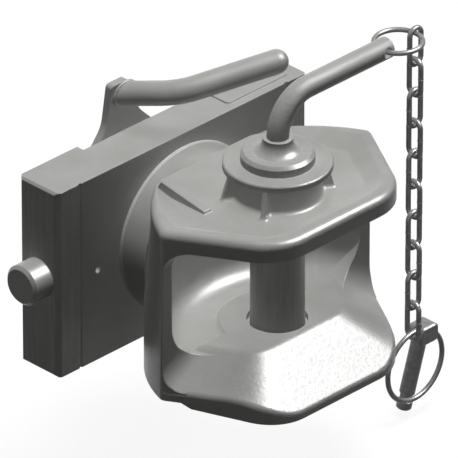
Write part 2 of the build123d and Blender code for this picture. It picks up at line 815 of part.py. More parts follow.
# Bent tube of the lever, welded to the front of the arm and closed by a domed end.
root_x = (arm_tip[0][0] + arm_tip[1][0]) / 2 + tube_root_side
root_z = half_height + arm_tip[0][1] - tube_root_drop
root = Vector(root_x, cam_face, root_z)
root_run = Vector(*tube_root_run).normalized()
tip_run = Vector(*tube_tip_run).normalized()
bend_length = tube_bend_radius * tan(radians(root_run.get_angle(tip_run)) / 2)
knee = root + root_run * (tube_root_length + bend_length)
tip = knee + tip_run * (bend_length + tube_tip_length)
tube_start = root - root_run * tube_radius


def bent_rod(radius):
    """Rod along the lever's route, with a half ball at its free end."""
    with BuildPart() as rod:
        with BuildLine():
            FilletPolyline(tube_start, knee, tip, radius=tube_bend_radius)
        with BuildSketch(Plane(origin=tube_start, z_dir=root_run)):
            Circle(radius)
        sweep()
        with Locations(Location(tip)):
            Sphere(radius)
    return rod.part


with BuildPart() as lever_tube:
    add(bent_rod(tube_radius))
    add(bent_rod(tube_radius - tube_wall), mode=Mode.SUBTRACT)
    split(bisect_by=Plane.XZ.offset(-cam_face), keep=Keep.TOP)
lever_tube.part.label = "lever_tube"

# Bushes for the main pin.
with BuildPart() as upper_bush:
    with BuildSketch(Plane.XY.offset(plate_underside)):
        with Locations((0, -pin_reach)):
            Circle(upper_bush_radius)
            Circle(pin_bore, mode=Mode.SUBTRACT)
    extrude(amount=boss_top - face_gap - plate_underside)
upper_bush.part.label = "upper_bush"

with BuildPart() as lower_bush:
    with BuildSketch(Plane.XY.offset(underside_rear)):
        with Locations((0, -pin_reach)):
            Circle(lower_bush_radius)
            Circle(pin_bore, mode=Mode.SUBTRACT)
    extrude(amount=seat_level - lower_bush_setback - underside_rear)
lower_bush.part.label = "lower_bush"

# Main pin: turned in one piece with its head, with a socket for the handle and a hole for the linch pin.
with BuildPart() as main_pin:
    with BuildSketch(Plane.XZ.offset(pin_reach)):
        with BuildLine():
            Polyline(
                (0, pin_end),
                (pin_radius - pin_end_chamfer, pin_end),
                (pin_radius, pin_end + pin_end_chamfer),
                (pin_radius, boss_top),
                (pin_head_radius, boss_top),
                (pin_head_radius, pin_head_top - pin_head_bevel),
                (pin_head_radius - pin_head_bevel, pin_head_top),
                (pin_neck_radius + pin_neck_flare, pin_head_top),
            )
            ThreePointArc(
                (pin_neck_radius + pin_neck_flare, pin_head_top),
                (
                    pin_neck_radius + pin_neck_flare / 2 - pin_neck_hollow,
                    pin_head_top + pin_neck_height / 2 - pin_neck_hollow / 2,
                ),
                (pin_neck_radius, pin_neck_top),
            )
            Polyline((pin_neck_radius, pin_neck_top), (0, pin_neck_top), (0, pin_end))
        make_face()
    revolve(axis=Axis((0, -pin_reach, 0), (0, 0, 1)))
    with BuildSketch(Plane.XY.offset(pin_neck_top)):
        with Locations((0, -pin_reach)):
            Circle(handle_radius)
    extrude(amount=-handle_socket, mode=Mode.SUBTRACT)
    with BuildSketch(Plane.YZ):
        with Locations((-pin_reach, linch_hole_level)):
            Circle(linch_hole_radius)
    extrude(amount=pin_radius, both=True, mode=Mode.SUBTRACT)
main_pin.part.label = "main_pin"

with BuildPart() as pin_handle:
    socket_floor = pin_neck_top - handle_socket
    with BuildLine():
        FilletPolyline(
            (0, -pin_reach, socket_floor),
            (0, -pin_reach, handle_level),
            (handle_length, -pin_reach, handle_level),
            radius=handle_bend,
        )
    with BuildSketch(Plane.XY.offset(socket_floor)):
        with Locations((0, -pin_reach)):
            Circle(handle_radius)
    sweep()
    chamfer(pin_handle.faces().sort_by(Axis.X)[-1].edges(), handle_tip_chamfer)
    with BuildSketch(Plane.XZ.offset(pin_reach)):
        with Locations((ring_hole_x, handle_level)):
            Circle(ring_hole_radius)
    extrude(amount=handle_radius, both=True, mode=Mode.SUBTRACT)
pin_handle.part.label = "pin_handle"

with BuildPart() as handle_ring:
    with BuildSketch(Plane.XZ.offset(pin_reach)):
        with Locations((ring_hole_x, handle_level)):
            Circle(handle_ring_wire)
    revolve(axis=Axis((ring_hole_x + handle_ring_radius, -pin_reach, 0), (0, 0, 1)))
handle_ring.part.label = "handle_ring"

# Keeper chain: links in turn across and along the coupling, each hung from the bar above it.
link_half_width = chain_outer_width / 2 - chain_wire
link_length = chain_inner_length + 2 * chain_wire
link_pitch = link_length - 2 * chain_wire - chain_gap
chain_x = ring_hole_x + 2 * handle_ring_radius
first_link_top = handle_level + handle_ring_wire + chain_wire + chain_gap
for number in range(1, chain_links + 1):
    top = first_link_top - (number - 1) * link_pitch
    middle = top - link_length / 2
    odd = number % 2 == 1
    if odd:
        link_plane = Plane(origin=(chain_x, -pin_reach, middle), x_dir=(1, 0, 0), z_dir=(0, -1, 0))
    else:
        link_plane = Plane(origin=(chain_x, -pin_reach, middle), x_dir=(0, 1, 0), z_dir=(1, 0, 0))
    with BuildPart() as chain_link:
        with BuildLine(link_plane):
            straight = link_length / 2 - link_half_width
            Line((link_half_width, 0), (link_half_width, straight))
            ThreePointArc(
                (link_half_width, straight), (0, link_length / 2), (-link_half_width, straight)
            )
            Line((-link_half_width, straight), (-link_half_width, -straight))
            ThreePointArc(
                (-link_half_width, -straight), (0, -link_length / 2), (link_half_width, -straight)
            )
            Line((link_half_width, -straight), (link_half_width, 0))
        start = link_plane.from_local_coords((link_half_width, 0))
        with BuildSketch(Plane(origin=start, z_dir=(0, 0, 1))):
            Circle(chain_wire)
        sweep()
    name = "chain_link_%02d" % number
    chain_link.part.label = name
    export_step(chain_link.part, "parts/" + name + ".step")

# Ring of the linch pin, hung from the last link.
last_bar = first_link_top - (chain_links - 1) * link_pitch - link_length
ring_hang = last_bar + chain_wire + linch_ring_wire + chain_gap
ring_drop = sqrt(linch_ring_radius**2 - linch_ring_offset**2)
linch_ring_x = chain_x + linch_ring_offset
linch_ring_z = ring_hang - ring_drop
with BuildPart() as linch_ring:
    with BuildSketch(Plane.XY.offset(linch_ring_z)):
        with Locations((linch_ring_x + linch_ring_radius, -pin_reach)):
            Circle(linch_ring_wire)
    revolve(axis=Axis((linch_ring_x, 0, linch_ring_z), (0, 1, 0)))
linch_ring.part.label = "linch_ring"

# Linch pin: a round shank with a groove for the ring, and a block head that the ring passes through. The
# straight eye lies in the middle of the ring's bow, so that the head turns about it freely.
eye_run = Vector(sqrt(linch_ring_radius**2 - linch_head_side**2), 0, -linch_head_side).normalized()
eye_out = Vector(-eye_run.Z, 0, eye_run.X)
ring_centre = Vector(linch_ring_x, -pin_reach, linch_ring_z)
half_eye = linch_head_size[0] / 2 / eye_run.X
ring_bow = linch_ring_radius - sqrt(linch_ring_radius**2 - half_eye**2)
eye_centre = ring_centre + eye_out * (linch_ring_radius - ring_bow / 2)
head_centre = eye_centre + Vector(0, linch_head_back, -linch_head_drop)
shank_start = head_centre + Vector(*linch_shank_start)
shank_end = head_centre + Vector(*linch_shank_end)
shank_run = (shank_end - shank_start).normalized()
groove_centre = shank_start + shank_run * (
    (shank_start.Z - linch_ring_z + linch_ring_radius) / -shank_run.Z
)
with BuildPart() as linch_pin:
    with Locations(Location(head_centre)):
        Box(*linch_head_size)
    fillet(linch_pin.edges().filter_by(Axis.Y), linch_head_round)
    chamfer(linch_pin.faces().sort_by(Axis.Y)[0].edges(), linch_head_bevel)
    with BuildSketch(Plane(origin=shank_start - shank_run * linch_shank_radius, z_dir=shank_run)):
        Circle(linch_shank_radius)
    extrude(amount=(shank_end - shank_start).length + linch_shank_radius)
    chamfer(linch_pin.faces().sort_by(Axis.Z)[0].edges(), linch_tip_bevel)
    with BuildSketch(Plane(origin=groove_centre - shank_run * linch_groove_width / 2, z_dir=shank_run)):
        Circle(linch_shank_radius)
        Circle(linch_shank_radius - linch_groove_depth, mode=Mode.SUBTRACT)
    extrude(amount=linch_groove_width, mode=Mode.SUBTRACT)
    with BuildSketch(Plane(origin=eye_centre, z_dir=eye_run)):
        Circle(linch_eye_radius)
    extrude(amount=linch_head_size[0], both=True, mode=Mode.SUBTRACT)
linch_pin.part.label = "linch_pin"

for piece in (
    jaw,
    slide_block,
    trunnion_bush,
    thrust_ring,
    rear_washer,
    trunnion_nut,
    nut_split_pin,
    lever_plate,
    lever_tube,
    upper_bush,
    lower_bush,
    main_pin,
    pin_handle,
    handle_ring,
    linch_ring,
    linch_pin,
):
    export_step(piece.part, "parts/" + piece.part.label + ".step")
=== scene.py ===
"""Scene of a manual pin coupling: cast jaw, slide block, coupling pin, keeper chain and lock lever.

Metres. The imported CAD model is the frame. This script gives every node its finish and adds the welds that the
solids leave out, then sets the floor, the studio light and the camera.
"""

import logging
import math
from dataclasses import dataclass
from enum import Enum

import bmesh
import bpy
from mathutils import Matrix, Vector

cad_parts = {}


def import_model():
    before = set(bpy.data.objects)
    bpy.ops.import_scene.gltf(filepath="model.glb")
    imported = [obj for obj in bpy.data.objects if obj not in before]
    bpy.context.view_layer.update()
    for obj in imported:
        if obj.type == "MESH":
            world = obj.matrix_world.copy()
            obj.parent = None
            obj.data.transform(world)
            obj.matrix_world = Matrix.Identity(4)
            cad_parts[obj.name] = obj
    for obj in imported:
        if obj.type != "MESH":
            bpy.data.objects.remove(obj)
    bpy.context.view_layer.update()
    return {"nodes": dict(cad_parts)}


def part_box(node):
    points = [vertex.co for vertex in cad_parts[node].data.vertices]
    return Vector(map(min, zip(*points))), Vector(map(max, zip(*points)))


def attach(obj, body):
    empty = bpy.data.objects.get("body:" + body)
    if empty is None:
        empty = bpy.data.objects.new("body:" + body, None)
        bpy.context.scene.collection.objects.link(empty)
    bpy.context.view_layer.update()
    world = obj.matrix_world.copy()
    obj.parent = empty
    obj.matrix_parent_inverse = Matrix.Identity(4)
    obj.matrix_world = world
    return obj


LOG = logging.getLogger("pin_coupling")
MM = 0.001
PIN_Y = -116.4 * MM  # Axis of the coupling pin, in front of the block's face.
WAVE_BAND = 0.31416  # A Wave texture of scale s has one band every WAVE_BAND / s metres.
NOISE_LOW, NOISE_HIGH = 0.3, 0.7  # Nearly all of a Noise texture's values lie between these.
FLAT, SHARP = 0.99, 0.86  # Cosine of the angle that rounding turns a normal by, off an edge and on it.
COLOUR_A, COLOUR_B, COLOUR_OUT = 6, 7, 2  # A Mix node's sockets for colours. They share their names with
NUMBER_A, NUMBER_B = 2, 3  # its sockets for numbers, so both go by number here.

Tree = bpy.types.NodeTree
Socket = bpy.types.NodeSocket


class Way(Enum):
    """Direction that a turned, drawn or rubbed pattern runs round or along."""

    X = (1.0, 0.0, 0.0)
    Y = (0.0, 1.0, 0.0)
    Z = (0.0, 0.0, 1.0)

    def drawn_out(self, squeeze: float) -> list[float]:
        """Scale of the coordinates that draws a pattern out this way, with a squeeze below 1."""
        return [squeeze if part else 1.0 for part in self.value]


def linear(hex_colour: str) -> tuple[float, float, float, float]:
    """Turn an sRGB hex colour to linear light.

    Args:
        hex_colour: Colour as "#RRGGBB".

    Returns:
        Red, green, blue and alpha for a shader socket.
    """
    values = [int(hex_colour[i : i + 2], 16) / 255 for i in (1, 3, 5)]
    red, green, blue = (v / 12.92 if v <= 0.04045 else ((v + 0.055) / 1.055) ** 2.4 for v in values)
    return (red, green, blue, 1.0)


def add_node(
    tree: Tree,
    kind: str,
    settings: dict[str, object] | None = None,
    inputs: dict[str | int, object] | None = None,
) -> bpy.types.Node:
    """Add a node with its settings and links.

    Args:
        tree: Node tree that gets the node.
        kind: Node's type name.
        settings: Values of the node's own properties.
        inputs: Value, or the output socket to link, for each input by name or number.

    Returns:
        The new node.
    """
    node = tree.nodes.new(kind)
    for name, value in (settings or {}).items():
        setattr(node, name, value)
    for name, value in (inputs or {}).items():
        if isinstance(value, Socket):
            tree.links.new(value, node.inputs[name])
        else:
            node.inputs[name].default_value = value
    return node


def start_material(name: str) -> tuple[bpy.types.Material, Tree, Socket]:
    """Make an empty node material.

    Args:
        name: Material's name.

    Returns:
        The material, its tree and the Object coordinates in that tree.
    """
    material = bpy.data.materials.new(name)
    material.use_nodes = True
    tree = material.node_tree
    tree.nodes.clear()
    place = add_node(tree, "ShaderNodeTexCoord").outputs["Object"]
    return material, tree, place


def round_edges(tree: Tree, edge_radius: float) -> tuple[Socket, Socket]:
    """Round the sharp edges in the shading, as an edge broken with a file looks.

    Args:
        tree: Material's tree.
        edge_radius: Radius of the broken edge in metres.

    Returns:
        The rounded normal, and a mask that is 1 on a sharp edge and 0 on a flat face.
    """
    rounded = add_node(tree, "ShaderNodeBevel", {"samples": 6}, {"Radius": edge_radius}).outputs[0]
    face = add_node(tree, "ShaderNodeNewGeometry").outputs["Normal"]
    same = add_node(
        tree, "ShaderNodeVectorMath", {"operation": "DOT_PRODUCT"}, {0: rounded, 1: face}
    ).outputs["Value"]
    edge = add_node(
        tree, "ShaderNodeMapRange", inputs={"Value": same, "From Min": FLAT, "From Max": SHARP}
    ).outputs[0]
    return rounded, edge


def noise_span(pattern: Socket, low: float, high: float) -> dict[str, object]:
    """Give the Map Range inputs that let a value follow a noise pattern.

    Args:
        pattern: Noise that the value follows.
        low: Value where the noise is low.
        high: Value where it is high.

    Returns:
        Inputs by name.
    """
    return {"Value": pattern, "From Min": NOISE_LOW, "From Max": NOISE_HIGH, "To Min": low, "To Max": high}


def two_tones(tree: Tree, pattern: Socket, first: str, second: str) -> Socket:
    """Colour a surface in two tones that run into each other along a noise pattern.

    Args:
        tree: Material's tree.
        pattern: Noise that the tones follow.
        first: Colour where the noise is low, as "#RRGGBB".
        second: Colour where it is high.

    Returns:
        The uneven colour.
    """
    share = add_node(tree, "ShaderNodeMapRange", inputs=noise_span(pattern, 0.0, 1.0)).outputs[0]
    tones = {0: share, COLOUR_A: linear(first), COLOUR_B: linear(second)}
    return add_node(tree, "ShaderNodeMix", {"data_type": "RGBA"}, tones).outputs[COLOUR_OUT]


def wear_edges(tree: Tree, coat: Socket, edge: Socket, share: Socket | float, worn: str) -> Socket:
    """Rub a coat lighter on its edges.

    Args:
        tree: Material's tree.
        coat: Colour of the coat.
        edge: Mask that is 1 on a sharp edge.
        share: How far an edge is rubbed, from 0 to 1.
        worn: Colour of a rubbed edge, as "#RRGGBB".

    Returns:
        The colour with its worn edges.
    """
    rubbed = add_node(tree, "ShaderNodeMath", {"operation": "MULTIPLY"}, {0: edge, 1: share}).outputs[0]
    tones = {0: rubbed, COLOUR_A: coat, COLOUR_B: linear(worn)}
    return add_node(tree, "ShaderNodeMix", {"data_type": "RGBA"}, tones).outputs[COLOUR_OUT]


def finish_surface(
    tree: Tree, colour: Socket, roughness: Socket, normal: Socket, metallic: float, specular: float
) -> None:
    """Close a material with its shader.

    Args:
        tree: Material's tree.
        colour: Base colour.
        roughness: Roughness.
        normal: Shading normal.
        metallic: How far the surface is bare metal.
        specular: Specular level.
    """
    shader = add_node(
        tree,
        "ShaderNodeBsdfPrincipled",
        inputs={
            "Base Color": colour,
            "Roughness": roughness,
            "Normal": normal,
            "Metallic": metallic,
            "Specular IOR Level": specular,
        },
    )
    add_node(tree, "ShaderNodeOutputMaterial", inputs={"Surface": shader.outputs[0]})


@dataclass(frozen=True)
class SandCastSteel:
    """Cast steel, cast in sand, shot blasted and sprayed satin grey, with the boss's top and trunnion turned.

    Blasting rounds the sand's print to soft grains of about 1.2 mm. They are drawn 3.2 mm wide, because finer
    ones don't show at this distance. The eye gets a dull, slightly uneven grey with soft broad highlights,
    worn lighter on its edges, and fine rings on the turned top of the boss and round the trunnion.
    """

    paint: str = "#AAAAA8"
    shade: str = "#A0A09D"
    worn: str = "#BDBDBA"
    grain: float = 3.2 * MM
    mottle: float = 34.0 * MM
    ring_pitch: float = 2.4 * MM
    edge_radius: float = 1.6 * MM
    relief: float = 0.28 * MM
    boss_top: float = 112.9 * MM
    shaft_start: float = -3.8 * MM
    least_worn: float = 0.25
    most_worn: float = 0.9
    smoothest: float = 0.31
    roughest: float = 0.4
    turned_roughness: float = 0.33
    metallic: float = 0.0
    specular: float = 0.19

    def material(self) -> bpy.types.Material:
        """Build the material of the jaw.

        Returns:
            The finished material.
        """
        material, tree, place = start_material("sand_cast_steel")
        grain = add_node(
            tree,
            "ShaderNodeTexNoise",
            inputs={"Vector": place, "Scale": 1 / self.grain, "Detail": 3.0, "Roughness": 0.55},
        ).outputs[0]
        mottle = add_node(
            tree,
            "ShaderNodeTexNoise",
            inputs={"Vector": place, "Scale": 1 / self.mottle, "Detail": 4.0, "Roughness": 0.6},
        ).outputs[0]
        parts = add_node(tree, "ShaderNodeSeparateXYZ", inputs={0: place}).outputs
        beyond = {"operation": "GREATER_THAN"}
        boss = add_node(tree, "ShaderNodeMath", beyond, {0: parts["Z"], 1: self.boss_top}).outputs[0]
        shaft = add_node(tree, "ShaderNodeMath", beyond, {0: parts["Y"], 1: self.shaft_start}).outputs[0]
        turned = add_node(tree, "ShaderNodeMath", {"operation": "MAXIMUM"}, {0: boss, 1: shaft}).outputs[0]
        centred = add_node(
            tree, "ShaderNodeMapping", inputs={"Vector": place, "Location": (0.0, -PIN_Y, 0.0)}
        ).outputs[0]
        rings = add_node(
            tree,
            "ShaderNodeTexWave",
            {"wave_type": "RINGS", "rings_direction": "Z"},
            {"Vector": centred, "Scale": WAVE_BAND / self.ring_pitch, "Distortion": 0.4, "Detail": 1.0},
        ).outputs[1]
        thread = add_node(
            tree,
            "ShaderNodeTexWave",
            {"wave_type": "BANDS", "bands_direction": "Y"},
            {"Vector": place, "Scale": WAVE_BAND / self.ring_pitch},
        ).outputs[1]
        tooled = {0: shaft, NUMBER_A: rings, NUMBER_B: thread}
        lines = add_node(tree, "ShaderNodeMix", inputs=tooled).outputs[0]
        surface = {0: turned, NUMBER_A: grain, NUMBER_B: lines}
        pattern = add_node(tree, "ShaderNodeMix", inputs=surface).outputs[0]
        rounded, edge = round_edges(tree, self.edge_radius)
        normal = add_node(
            tree,
            "ShaderNodeBump",
            inputs={"Strength": 0.55, "Distance": self.relief, "Height": pattern, "Normal": rounded},
        ).outputs[0]
        rubbed = add_node(
            tree, "ShaderNodeMapRange", inputs=noise_span(grain, self.least_worn, self.most_worn)
        ).outputs[0]
        colour = wear_edges(tree, two_tones(tree, mottle, self.paint, self.shade), edge, rubbed, self.worn)
        blasted = add_node(
            tree, "ShaderNodeMapRange", inputs=noise_span(grain, self.smoothest, self.roughest)
        ).outputs[0]
        gloss = {0: turned, NUMBER_A: blasted, NUMBER_B: self.turned_roughness}
        roughness = add_node(tree, "ShaderNodeMix", inputs=gloss).outputs[0]
        finish_surface(tree, colour, roughness, normal, self.metallic, self.specular)
        return material


@dataclass(frozen=True)
class TurnedSteel:
    """Steel, turned on a lathe and left with an oiled satin surface.

    The tool leaves rings of about 0.3 mm. They are drawn 2 mm apart, because finer ones don't show. The eye
    gets an even grey with thin bands round the axis, and streaks along it where the part slides.
    """

    name: str
    way: Way
    centre: tuple[float, float, float] = (0.0, 0.0, 0.0)
    colour: str = "#A9A9A7"
    darker: str = "#9C9C9A"
    worn: str = "#C2C2C0"
    worn_share: float = 0.6
    pitch: float = 2.0 * MM
    streak: float = 2.6 * MM
    streak_squeeze: float = 0.06
    edge_radius: float = 0.8 * MM
    relief: float = 0.05 * MM
    smoothest: float = 0.3
    roughest: float = 0.42
    metallic: float = 0.02
    specular: float = 0.15

    def material(self) -> bpy.types.Material:
        """Build the material of a part turned about one axis.

        Returns:
            The finished material.
        """
        material, tree, place = start_material(self.name)
        centred = add_node(
            tree, "ShaderNodeMapping", inputs={"Vector": place, "Location": [-part for part in self.centre]}
        ).outputs[0]
        tool = {"Vector": centred, "Scale": WAVE_BAND / self.pitch, "Distortion": 0.3, "Detail": 1.0}
        letter = self.way.name
        bands = add_node(
            tree, "ShaderNodeTexWave", {"wave_type": "BANDS", "bands_direction": letter}, tool
        ).outputs[1]
        rings = add_node(
            tree, "ShaderNodeTexWave", {"wave_type": "RINGS", "rings_direction": letter}, tool
        ).outputs[1]
        along = add_node(
            tree,
            "ShaderNodeMapping",
            inputs={"Vector": centred, "Scale": self.way.drawn_out(self.streak_squeeze)},
        ).outputs[0]
        streaks = add_node(
            tree,
            "ShaderNodeTexNoise",
            inputs={"Vector": along, "Scale": 1 / self.streak, "Detail": 2.0, "Roughness": 0.6},
        ).outputs[0]
        lines = add_node(tree, "ShaderNodeMath", {"operation": "ADD"}, {0: bands, 1: rings}).outputs[0]
        pattern = add_node(tree, "ShaderNodeMath", {"operation": "ADD"}, {0: lines, 1: streaks}).outputs[0]
        rounded, edge = round_edges(tree, self.edge_radius)
        normal = add_node(
            tree,
            "ShaderNodeBump",
            inputs={"Strength": 0.5, "Distance": self.relief, "Height": pattern, "Normal": rounded},
        ).outputs[0]
        shade = two_tones(tree, streaks, self.colour, self.darker)
        colour = wear_edges(tree, shade, edge, self.worn_share, self.worn)
        roughness = add_node(
            tree, "ShaderNodeMapRange", inputs=noise_span(streaks, self.smoothest, self.roughest)
        ).outputs[0]
        finish_surface(tree, colour, roughness, normal, self.metallic, self.specular)
        return material


@dataclass(frozen=True)
class MilledPlate:
    """Forged plate, milled flat and sprayed satin grey, rubbed bare where it runs in the rails.

    The cutter leaves lines across the face, drawn 3 mm apart. The eye gets a flat, quiet grey with a faint
    grain along one direction, and upright rub marks on the two edges that slide between the guide rails.
    """

    name: str
    way: Way
    runs_in_rails: bool = False
    colour: str = "#A8A8A6"
    darker: str = "#9E9E9B"
    rubbed: str = "#B7B7B4"
    line: float = 3.0 * MM
    line_squeeze: float = 0.05
    mottle: float = 46.0 * MM
    rail_edge: float = 129.0 * MM
    rail_blend: float = 2.0 * MM
    rub_squeeze: float = 0.04
    rub_starts: float = 0.46
    rub_full: float = 0.66
    most_rubbed: float = 0.8
    worn_share: float = 0.7
    edge_radius: float = 1.4 * MM
    relief: float = 0.06 * MM
    smoothest: float = 0.38
    roughest: float = 0.48
    polish: float = 0.1
    metallic: float = 0.0
    specular: float = 0.14

    def rub_marks(self, tree: Tree, place: Socket) -> Socket:
        """Draw the marks that the guide rails rub on the upright faces near both sides.

        Args:
            tree: Material's tree.
            place: Object coordinates.

        Returns:
            How far each place is rubbed, from 0 to 1.
        """
        upwards = add_node(
            tree, "ShaderNodeMapping", inputs={"Vector": place, "Scale": Way.Z.drawn_out(self.rub_squeeze)}
        ).outputs[0]
        marks = add_node(
            tree,
            "ShaderNodeTexNoise",
            inputs={"Vector": upwards, "Scale": 1 / self.line, "Detail": 3.0, "Roughness": 0.7},
        ).outputs[0]
        streaky = add_node(
            tree,
            "ShaderNodeMapRange",
            inputs={
                "Value": marks,
                "From Min": self.rub_starts,
                "From Max": self.rub_full,
                "To Max": self.most_rubbed,
            },
        ).outputs[0]
        side = add_node(tree, "ShaderNodeSeparateXYZ", inputs={0: place}).outputs["X"]
        off = add_node(tree, "ShaderNodeMath", {"operation": "ABSOLUTE"}, {0: side}).outputs[0]
        in_rail = add_node(
            tree,
            "ShaderNodeMapRange",
            inputs={
                "Value": off,
                "From Min": self.rail_edge - self.rail_blend,
                "From Max": self.rail_edge + self.rail_blend,
            },
        ).outputs[0]
        facing = add_node(tree, "ShaderNodeNewGeometry").outputs["Normal"]
        lift = add_node(tree, "ShaderNodeSeparateXYZ", inputs={0: facing}).outputs["Z"]
        level = add_node(tree, "ShaderNodeMath", {"operation": "ABSOLUTE"}, {0: lift}).outputs[0]
        upright = add_node(tree, "ShaderNodeMath", {"operation": "SUBTRACT"}, {0: 1.0, 1: level}).outputs[0]
        times = {"operation": "MULTIPLY"}
        shows = add_node(tree, "ShaderNodeMath", times, {0: upright, 1: streaky}).outputs[0]
        return add_node(tree, "ShaderNodeMath", times, {0: in_rail, 1: shows}).outputs[0]

    def material(self) -> bpy.types.Material:
        """Build the material of a milled plate or of the lever bent from it.

        Returns:
            The finished material.
        """
        material, tree, place = start_material(self.name)
        drawn = self.way.drawn_out(self.line_squeeze)
        along = add_node(tree, "ShaderNodeMapping", inputs={"Vector": place, "Scale": drawn}).outputs[0]
        lines = add_node(
            tree,
            "ShaderNodeTexNoise",
            inputs={"Vector": along, "Scale": 1 / self.line, "Detail": 2.0, "Roughness": 0.55},
        ).outputs[0]
        mottle = add_node(
            tree,
            "ShaderNodeTexNoise",
            inputs={"Vector": place, "Scale": 1 / self.mottle, "Detail": 4.0, "Roughness": 0.6},
        ).outputs[0]
        rounded, edge = round_edges(tree, self.edge_radius)
        normal = add_node(
            tree,
            "ShaderNodeBump",
            inputs={"Strength": 0.5, "Distance": self.relief, "Height": lines, "Normal": rounded},
        ).outputs[0]
        worn = add_node(
            tree, "ShaderNodeMath", {"operation": "MULTIPLY"}, {0: edge, 1: self.worn_share}
        ).outputs[0]
        if self.runs_in_rails:
            rubbing = self.rub_marks(tree, place)
            more = {"operation": "MAXIMUM"}
            worn = add_node(tree, "ShaderNodeMath", more, {0: rubbing, 1: worn}).outputs[0]
        coat = two_tones(tree, mottle, self.colour, self.darker)
        tones = {0: worn, COLOUR_A: coat, COLOUR_B: linear(self.rubbed)}
        colour = add_node(tree, "ShaderNodeMix", {"data_type": "RGBA"}, tones).outputs[COLOUR_OUT]
        sprayed = add_node(
            tree, "ShaderNodeMapRange", inputs=noise_span(lines, self.smoothest, self.roughest)
        ).outputs[0]
        smoother = add_node(
            tree, "ShaderNodeMath", {"operation": "MULTIPLY"}, {0: worn, 1: self.polish}
        ).outputs[0]
        roughness = add_node(
            tree, "ShaderNodeMath", {"operation": "SUBTRACT"}, {0: sprayed, 1: smoother}
        ).outputs[0]
        finish_surface(tree, colour, roughness, normal, self.metallic, self.specular)
        return material


@dataclass(frozen=True)
class ZincPlatedWire:
    """Steel wire and forgings, electroplated with zinc and passivated clear.

    The plating shows as cloudy patches of about 5 mm with a fine frost. The eye gets a grey that is livelier
    than paint, with small bright glints on every round, and duller and darker patches between.
    """

    name: str = "zinc_plated_wire"
    colour: str = "#969796"
    darker: str = "#7E7F7D"
    worn: str = "#BEBFBE"
    worn_share: float = 0.5
    cloud: float = 5.0 * MM
    cloud_starts: float = 0.1
    cloud_full: float = 0.8
    frost: float = 1.8 * MM
    edge_radius: float = 0.7 * MM
    relief: float = 0.07 * MM
    smoothest: float = 0.24
    roughest: float = 0.34
    cloud_roughness: float = 0.1
    metallic: float = 0.08
    specular: float = 0.18

    def material(self) -> bpy.types.Material:
        """Build the material of the chain, the rings and the linch pin.

        Returns:
            The finished material.
        """
        material, tree, place = start_material(self.name)
        cloud = add_node(
            tree,
            "ShaderNodeTexVoronoi",
            {"feature": "SMOOTH_F1"},
            {"Vector": place, "Scale": 1 / self.cloud, "Smoothness": 0.8},
        ).outputs["Distance"]
        patch = add_node(
            tree,
            "ShaderNodeMapRange",
            inputs={"Value": cloud, "From Min": self.cloud_starts, "From Max": self.cloud_full},
        ).outputs[0]
        frost = add_node(
            tree,
            "ShaderNodeTexNoise",
            inputs={"Vector": place, "Scale": 1 / self.frost, "Detail": 3.0, "Roughness": 0.6},
        ).outputs[0]
        rounded, edge = round_edges(tree, self.edge_radius)
        normal = add_node(
            tree,
            "ShaderNodeBump",
            inputs={"Strength": 0.5, "Distance": self.relief, "Height": frost, "Normal": rounded},
        ).outputs[0]
        tones = {0: patch, COLOUR_A: linear(self.colour), COLOUR_B: linear(self.darker)}
        coat = add_node(tree, "ShaderNodeMix", {"data_type": "RGBA"}, tones).outputs[COLOUR_OUT]
        colour = wear_edges(tree, coat, edge, self.worn_share, self.worn)
        frosted = add_node(
            tree, "ShaderNodeMapRange", inputs=noise_span(frost, self.smoothest, self.roughest)
        ).outputs[0]
        duller = add_node(
            tree, "ShaderNodeMath", {"operation": "MULTIPLY"}, {0: patch, 1: self.cloud_roughness}
        ).outputs[0]
        roughness = add_node(tree, "ShaderNodeMath", {"operation": "ADD"}, {0: frosted, 1: duller}).outputs[0]
        finish_surface(tree, colour, roughness, normal, self.metallic, self.specular)
        return material


@dataclass(frozen=True)
class WeldMetal:
    """Bare weld metal, as it sets where the ends of a link's wire are pressed together.

    The metal freezes in small ripples. The eye gets a short row of rounded scales, a little darker and warmer
    than the steel beside it from the heat. The lever's weld is sprayed over, and the links' welds are bare.
    """

    colour: str = "#8E8C88"
    tint: str = "#7C7670"
    scale: float = 2.2 * MM
    relief: float = 0.1 * MM
    smoothest: float = 0.32
    roughest: float = 0.46
    metallic: float = 0.2
    specular: float = 0.4

    def material(self) -> bpy.types.Material:
        """Build the material of the weld beads.

        Returns:
            The finished material.
        """
        material, tree, place = start_material("weld_metal")
        scale = add_node(
            tree,
            "ShaderNodeTexNoise",
            inputs={"Vector": place, "Scale": 1 / self.scale, "Detail": 3.0, "Roughness": 0.6},
        ).outputs[0]
        normal = add_node(
            tree, "ShaderNodeBump", inputs={"Strength": 0.5, "Distance": self.relief, "Height": scale}
        ).outputs[0]
        roughness = add_node(
            tree, "ShaderNodeMapRange", inputs=noise_span(scale, self.smoothest, self.roughest)
        ).outputs[0]
        colour = two_tones(tree, scale, self.colour, self.tint)
        finish_surface(tree, colour, roughness, normal, self.metallic, self.specular)
        return material


